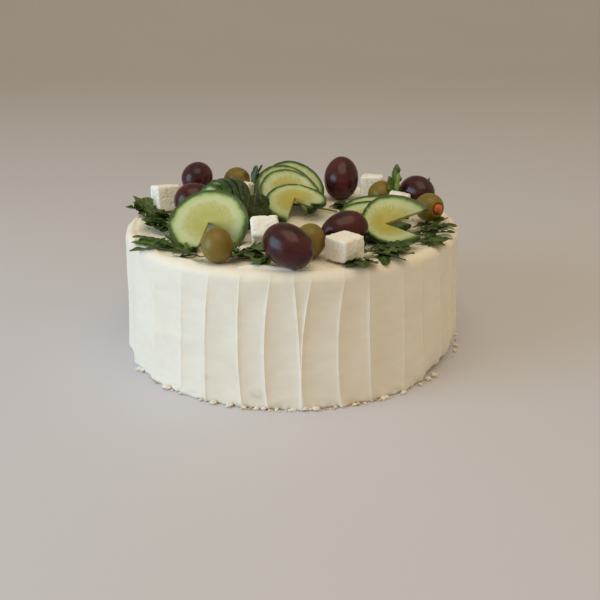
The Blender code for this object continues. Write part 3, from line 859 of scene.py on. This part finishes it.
def leafMaterial():
    material, tree, shader = newMaterial("rocketLeaf", Roughness=0.36, Specular_IOR_Level=0.32)
    tone = rampNode(tree, numberNode(tree, "pale"), (0.0, (0.014, 0.032, 0.005)),
                    (0.4, (0.034, 0.074, 0.009)), (0.7, (0.085, 0.155, 0.022)), (1.0, (0.24, 0.31, 0.055)))
    cloud = rampNode(tree, noiseNode(tree, 260.0, 5.0), (0.3, (0.62, 0.66, 0.6)), (0.7, (1.25, 1.2, 1.15)))
    blade = mixNode(tree, 1.0, tone, cloud, "MULTIPLY")
    veined = mixNode(tree, numberNode(tree, "vein"), blade, (0.22, 0.26, 0.09))
    paint(tree, shader, veined, (520.0, 4.0, 0.4, 0.35))
    return material


# a leaf's spec: place of the root, height over the frosting, heading, climb, length, half width,
# lobes, depth of the lobes, droop, sway, roll, paleness

def leafPath(spec):
    # points along the midrib and the way it heads at each of them
    place, rise, bearing, climb, length, droop, sway = *spec[:5], spec[8], spec[9]
    share = np.linspace(0.0, 1.0, leafShape["stations"] + 1)
    heading = np.radians(bearing + sway * (share - 0.3))
    slope = np.radians(climb - 2.0 * droop * share)
    along = np.stack([np.cos(heading) * np.cos(slope), np.sin(heading) * np.cos(slope), np.sin(slope)], 1)
    steps = along[1:] * length / leafShape["stations"]
    start = np.array((*place, heightAt(*place) + rise))
    return share, np.vstack([start, start + np.cumsum(steps, axis=0)]), along, heading


def buildLeaf(name, spec, seed):
    shape = leafShape
    halfWidth, lobes, depth, roll, pale = *spec[5:8], spec[10], spec[11]
    rng = random.Random(seed)
    deselectAll()
    bpy.ops.mesh.primitive_grid_add(x_subdivisions=shape["stations"], y_subdivisions=shape["across"],
                                    size=2.0)
    leaf = nameNew(name)
    grid = getPoints(leaf) * mm
    share, path, along, heading = leafPath(spec)
    t = 0.5 * (grid[:, 0] + 1.0)
    s = grid[:, 1]
    blade = np.clip((t - shape["stalk"]) / (1.0 - shape["stalk"]), 0.0, 1.0)
    envelope = np.sin(np.pi * blade ** 0.85) ** 0.65
    wave = 0.5 + 0.5 * np.cos(2 * np.pi * (lobes * blade + 0.12 * np.sign(s) * rng.uniform(0.5, 1.5)))
    reach = shape["stalkWidth"] + 1.2 * halfWidth * envelope * (1.0 - depth * wave * (1.0 - blade ** 3))
    ring = np.stack([t * 40.0, np.sign(s) * 20.0, np.full(len(t), seed * 3.0)], 1)
    reach *= 1.0 + 0.30 * softNoise(ring, 2.4, seed)
    # lobes lean back toward the root, the blade folds upward and its edge ruffles
    t = np.clip(t - 0.05 * s ** 2 * envelope * depth, 0.0, 1.0)
    spine = np.stack([np.interp(t, share, path[:, i]) for i in range(3)], 1)
    forward = np.stack([np.interp(t, share, along[:, i]) for i in range(3)], 1)
    turn = np.interp(t, share, heading)
    side = np.stack([-np.sin(turn), np.cos(turn), np.zeros(len(t))], 1)
    up = np.cross(forward, side)
    twist = math.radians(roll) + 0.35 * np.sin(3.0 * t + seed)
    fold = 0.22 * np.abs(s) * reach + 0.35 * s ** 2 * np.sin(t * 17.0 + seed + np.sign(s)) * envelope
    outward = side * np.cos(twist)[:, None] + up * np.sin(twist)[:, None]
    lifted = up * np.cos(twist)[:, None] - side * np.sin(twist)[:, None]
    points = spine + outward * (s * reach)[:, None] + lifted * fold[:, None]
    floor = np.array([heightAt(x, y) for x, y in points[:, :2]])
    points[:, 2] = np.maximum(points[:, 2], floor + shape["above"] + shape["thickness"])
    setPoints(leaf, points)
    rib = np.exp(-(s * reach / 0.4) ** 2)
    twigs = np.exp(-((((t * 9.0 - np.abs(s) * 1.1) % 1.0) - 0.5) / 0.10) ** 2) * envelope * 0.35
    setNumber(leaf, "vein", np.clip(0.75 * rib + twigs, 0, 0.85) * (0.35 + 0.65 * pale))
    setNumber(leaf, "pale", np.clip(pale + 0.18 * softNoise(points, 4.0, seed + 1), 0, 1))
    wall = leaf.modifiers.new("wall", "SOLIDIFY")
    wall.thickness = shape["thickness"] * mm
    applyModifiers(leaf)
    return leaf


def joinPieces(pieces, name):
    makeActive(pieces[0])
    for piece in pieces:
        piece.select_set(True)
    bpy.ops.object.join()
    return nameNew(name)


def buildStem(node, material):
    low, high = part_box(node)
    deselectAll()
    bpy.ops.mesh.primitive_cylinder_add(vertices=20, radius=1.0, depth=2.0)
    stem = nameNew(node + "_stalk")
    inEditMode(stem, lambda: bpy.ops.mesh.subdivide(number_cuts=12, quadcorner="INNERVERT"))
    unit = getPoints(stem) * mm
    t = 0.5 * (unit[:, 2] + 1.0)
    start = np.array([low[0], high[1], 0.5 * (low[2] + high[2])]) / mm
    end = np.array([high[0], low[1], 0.5 * (low[2] + high[2])]) / mm
    direction = (end - start) / np.linalg.norm(end - start)
    side = np.cross(direction, (0, 0, 1))
    thick = 0.95 - 0.3 * t
    points = start + (end - start) * t[:, None] + side * (unit[:, 0] * thick)[:, None]
    points += np.array((0, 0, 1)) * (unit[:, 1] * thick + 0.5 * np.sin(np.pi * t))[:, None]
    setPoints(stem, points)
    setNumber(stem, "vein", np.full(len(points), 0.3))
    setNumber(stem, "pale", np.clip(0.95 + 0.1 * softNoise(points, 3.0, 5), 0, 1))
    inEditMode(stem, lambda: bpy.ops.mesh.normals_make_consistent(inside=False))
    return finishPiece(stem, material, [node])


def frameLeaf(node):
    # root, heading, climb and length of a leaf in the frame
    points = np.array([vertex.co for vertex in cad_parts[node].data.vertices]) / mm
    middle = points.mean(0)
    axis = np.linalg.svd(points - middle, full_matrices=False)[2][0]
    reach = (points - middle) @ axis
    ends = [middle + axis * reach.min(), middle + axis * reach.max()]
    root, tip = sorted(ends, key=lambda end: 3.0 * end[2] + math.hypot(end[0], end[1]))
    span = tip - root
    length = float(np.linalg.norm(span))
    heading = math.degrees(math.atan2(span[1], span[0]))
    return root, span, heading, math.degrees(math.asin(span[2] / length)), length


def onTop(x, y):  # drawn in from the rim if need be
    inward = min(1.0, leafReach / math.hypot(x, y))
    return x * inward, y * inward


def longLeaves(nodes, count, halfWidth, lobes, depth, fan, pale, leastClimb, leastLength, rng):
    # the first leaf lies along the one in the frame, the others fan out round it
    specs = []
    for node in nodes:
        root, span, heading, climb, length = frameLeaf(node)
        for k in range(count):
            away = span * rng.uniform(0.0, 0.5) * (k > 0 and leastClimb <= uprightClimb)
            aside = fan * (2.0 * ((0.618 * k) % 1.0) - 1.0) * min(k, 1)
            size = max(length if k == 0 else length * rng.uniform(0.55, 0.85), leastLength * (0.9 ** k))
            specs.append((onTop(root[0] + away[0], root[1] + away[1]), 1 + k % 2, heading + aside,
                          max(climb, leastClimb) + rng.uniform(-4, 10), size,
                          halfWidth * rng.uniform(0.8, 1.1), lobes, depth,
                          rng.uniform(2, 9), rng.uniform(-20, 20), rng.uniform(-15, 20),
                          pale * rng.uniform(0.5, 1.1)))
    return specs


def middleLeaves():
    m = middleTuft
    specs = []
    for k, node in enumerate(m["beside"]):
        low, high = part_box(node)
        specs.append(((high.x / mm + 2 + 2 * k, low.y / mm + k), 1, 75 + 10 * k, m["climb"] - 3 * k,
                      m["length"], m["halfWidth"], m["lobes"], m["depth"], 5, 0, 5 * k, m["pale"]))
    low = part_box(m["by"])[0] / mm
    for heading in m["headings"]:
        specs.append(((low.x + 2, low.y), 1, heading, 12, 16, 0.65 * m["halfWidth"], m["lobes"],
                      m["depth"], 6, 0, 0, 2 * m["pale"]))
    return specs


def smallLeaves(leafSpecs, rng, count=6):
    # short curled leaves among the longer ones of a tuft
    extra = []
    for _ in range(count):
        (x, y), rise = rng.choice(leafSpecs)[:2]
        place = onTop(x + rng.gauss(0, 4), y + rng.gauss(0, 4))
        if all(low < value < high for value, (low, high) in zip(place, bareMiddle)):
            continue
        extra.append((place, rise + 0.5, rng.uniform(0, 360), rng.uniform(5, 30), rng.uniform(9, 15),
                      rng.uniform(2.0, 3.2), rng.choice((2, 3)), 0.6, rng.uniform(4, 14),
                      rng.uniform(-40, 40), rng.uniform(-25, 25), rng.uniform(0.05, 0.45)))
    return extra


def buildTuft(name, nodes, leafSpecs, material, number, rng):
    leafSpecs = leafSpecs + smallLeaves(leafSpecs, rng)
    leaves = [buildLeaf("leaf", spec, 200 + 20 * number + k) for k, spec in enumerate(leafSpecs)]
    return finishPiece(joinPieces(leaves, "rocket_" + name), material, nodes)


print("rocket")
leafGreen = leafMaterial()
for tuftNumber, (tuftName, (nodes, *look)) in enumerate(tufts.items()):
    rng = random.Random(tuftNumber)
    buildTuft(tuftName, nodes, longLeaves(nodes, *look, rng), leafGreen, tuftNumber, rng)
buildTuft("middle", [], middleLeaves(), leafGreen, len(tufts), random.Random(len(tufts)))
buildStem("stem_1", leafGreen)


# crumbs and specks, one piece for each kind

# count, smallest and largest size, flatness, colours, slot
scatters = {
    "breadCrumbs": (46, 0.7, 2.6, 0.7, ((0.58, 0.42, 0.20), (0.78, 0.64, 0.40)), "frosting"),
    "frostingBits": (110, 0.8, 5.0, 0.55, ((0.78, 0.72, 0.60), (0.90, 0.86, 0.78)), "frosting"),
    "cheeseCrumbs": (60, 0.6, 2.0, 0.8, ((0.78, 0.75, 0.66), (0.88, 0.86, 0.78)), "cheese"),
    "herbSpecks": (110, 0.5, 1.5, 0.35, ((0.03, 0.05, 0.01), (0.10, 0.13, 0.03)), "rocket"),
}
nearCheese = [(-88, 27), (-16, -54), (31, -85), (58, 55), (73, 17)]
crumbReach = {"foot": 112.6, "specks": 98.0, "most": 102.0}


def scatterPlace(kind, rng):
    if kind in ("breadCrumbs", "frostingBits"):  # round the foot, most of them in front
        bearing = math.radians(rng.gauss(0.0, 42.0) if rng.random() < 0.7 else rng.uniform(-180, 180))
        reach = crumbReach["foot"] + abs(rng.gauss(0.0, 0.8))
        return math.sin(bearing) * reach, -math.cos(bearing) * reach, 0.0
    if kind == "cheeseCrumbs":
        x, y = rng.choice(nearCheese)
        x, y = x + rng.gauss(0, 9), y + rng.gauss(0, 9)
    else:
        bearing, reach = rng.uniform(0, 2 * math.pi), crumbReach["specks"] * math.sqrt(rng.random())
        x, y = reach * math.cos(bearing), reach * math.sin(bearing)
    shrink = min(1.0, crumbReach["most"] / max(1.0, math.hypot(x, y)))
    return x * shrink, y * shrink, heightAt(x * shrink, y * shrink)


def crumbMaterial(kind, dark, light):
    material, tree, shader = newMaterial(kind, Roughness=0.7, Specular_IOR_Level=0.3)
    tone = rampNode(tree, noiseNode(tree, 420.0, 4.0), (0.35, dark), (0.65, light))
    paint(tree, shader, tone, (1500.0, 3.0, 0.4, 0.15))
    return material


def buildScatter(kind, seed):
    count, small, large, flat, (dark, light), slot = scatters[kind]
    rng = random.Random(seed)
    deselectAll()
    bpy.ops.mesh.primitive_ico_sphere_add(subdivisions=3, radius=1.0 * mm)
    first = nameNew(kind)
    unit = getPoints(first)
    pieces = [first]
    for i in range(count - 1):
        makeActive(first)
        bpy.ops.object.duplicate()
        pieces.append(bpy.context.object)
    for i, piece in enumerate(pieces):
        size = small + (large - small) * rng.random() ** 2.5
        lumpy = unit * (1.0 + 0.4 * softNoise(unit + i * 9.0, 0.7, seed + i))[:, None]
        lumpy = lumpy * (size / 2, size / 2 * rng.uniform(0.6, 1.0), size / 2 * flat)
        spin = np.array(Matrix.Rotation(rng.uniform(0, math.tau), 3, "Z"))
        x, y, z = scatterPlace(kind, rng)
        points = lumpy @ spin.T + (x, y, 0.0)
        points[:, 2] += z - points[:, 2].min()
        setPoints(piece, points)
    joined = joinPieces(pieces, kind)
    return finishPiece(joined, crumbMaterial(kind, dark, light))


print("crumbs")
for number, kind in enumerate(scatters):
    buildScatter(kind, 300 + 40 * number)


# floor, light and camera

studio = {
    "floorColour": (0.62, 0.62, 0.69),
    "worldColour": (1.0, 0.82, 0.54),
    "worldStrength": 0.50,
    "windowColour": (0.52, 0.76, 1.0),
    "windowPower": 11.0,
    "windowPlace": (-1.15, -0.55, 0.42),
    "windowSize": (0.9, 0.9),
    "ceilingColour": (1.0, 0.86, 0.66),
    "ceilingPower": 4.8,
    "ceilingPlace": (0.1, -0.3, 1.25),
    "ceilingSize": (1.0, 1.0),
}

view = {
    "target": (0.0051, 0.0, 0.0261),
    "distance": 0.60,
    "elevation": 21.0,
    "roll": 0.4,
    "lens": 51.8,
}


def buildFloor():
    deselectAll()
    bpy.ops.mesh.primitive_plane_add(size=8.0, location=(0, 0, 0))
    floor = nameNew("floor")
    material, tree, shader = newMaterial("paleFloor", Roughness=0.6)
    tone = rampNode(tree, noiseNode(tree, 3.0, 2.0), (0.3, studio["floorColour"]),
                    (0.7, tuple(c * 1.02 for c in studio["floorColour"])))
    paint(tree, shader, tone)
    floor.data.materials.append(material)
    # the far side sweeps up into a backdrop
    makeActive(floor)
    bpy.ops.object.mode_set(mode="EDIT")
    bpy.ops.mesh.select_all(action="DESELECT")
    bpy.ops.object.mode_set(mode="OBJECT")
    for edge in floor.data.edges:
        edge.select = all(floor.data.vertices[v].co.y > 3.9 for v in edge.vertices)
    bpy.ops.object.mode_set(mode="EDIT")
    bpy.ops.mesh.extrude_region_move(TRANSFORM_OT_translate={"value": (0, 0, 6.0)})
    bpy.ops.object.mode_set(mode="OBJECT")
    sweep = floor.modifiers.new("sweep", "BEVEL")
    sweep.width = 2.5
    sweep.segments = 24
    applyModifiers(floor)
    bpy.ops.object.shade_smooth()


def addLight(name, colour, power, place, size):
    deselectAll()
    bpy.ops.object.light_add(type="AREA", location=place)
    light = bpy.context.object
    light.name = name
    light.data.shape = "RECTANGLE"
    light.data.size, light.data.size_y = size
    light.data.energy = power
    light.data.color = colour
    aim = Vector((0.0, 0.0, 0.05)) - Vector(place)
    light.rotation_euler = aim.to_track_quat("-Z", "Y").to_euler()


def buildCamera():
    bpy.ops.object.camera_add()
    camera = bpy.context.object
    camera.name = "camera"
    camera.data.sensor_width = 36.0
    camera.data.lens = view["lens"]
    camera.data.clip_start = 0.01
    tilt = math.radians(view["elevation"])
    back = Vector((0.0, -math.cos(tilt), math.sin(tilt)))
    camera.location = Vector(view["target"]) + back * view["distance"]
    turn = Matrix.Rotation(math.radians(-view["roll"]), 3, "Z").to_quaternion()
    camera.rotation_mode = "QUATERNION"
    camera.rotation_quaternion = (-back).to_track_quat("-Z", "Y") @ turn
    bpy.context.scene.camera = camera


def buildWorld():
    world = bpy.data.worlds.new("studio")
    bpy.context.scene.world = world
    world.use_nodes = True
    background = world.node_tree.nodes["Background"]
    background.inputs["Color"].default_value = (*studio["worldColour"], 1.0)
    background.inputs["Strength"].default_value = studio["worldStrength"]
    bpy.context.scene.view_settings.view_transform = "Standard"


print("studio")
buildFloor()
for lamp in ("window", "ceiling"):
    addLight(lamp, *(studio[lamp + value] for value in ("Colour", "Power", "Place", "Size")))
buildWorld()
buildCamera()
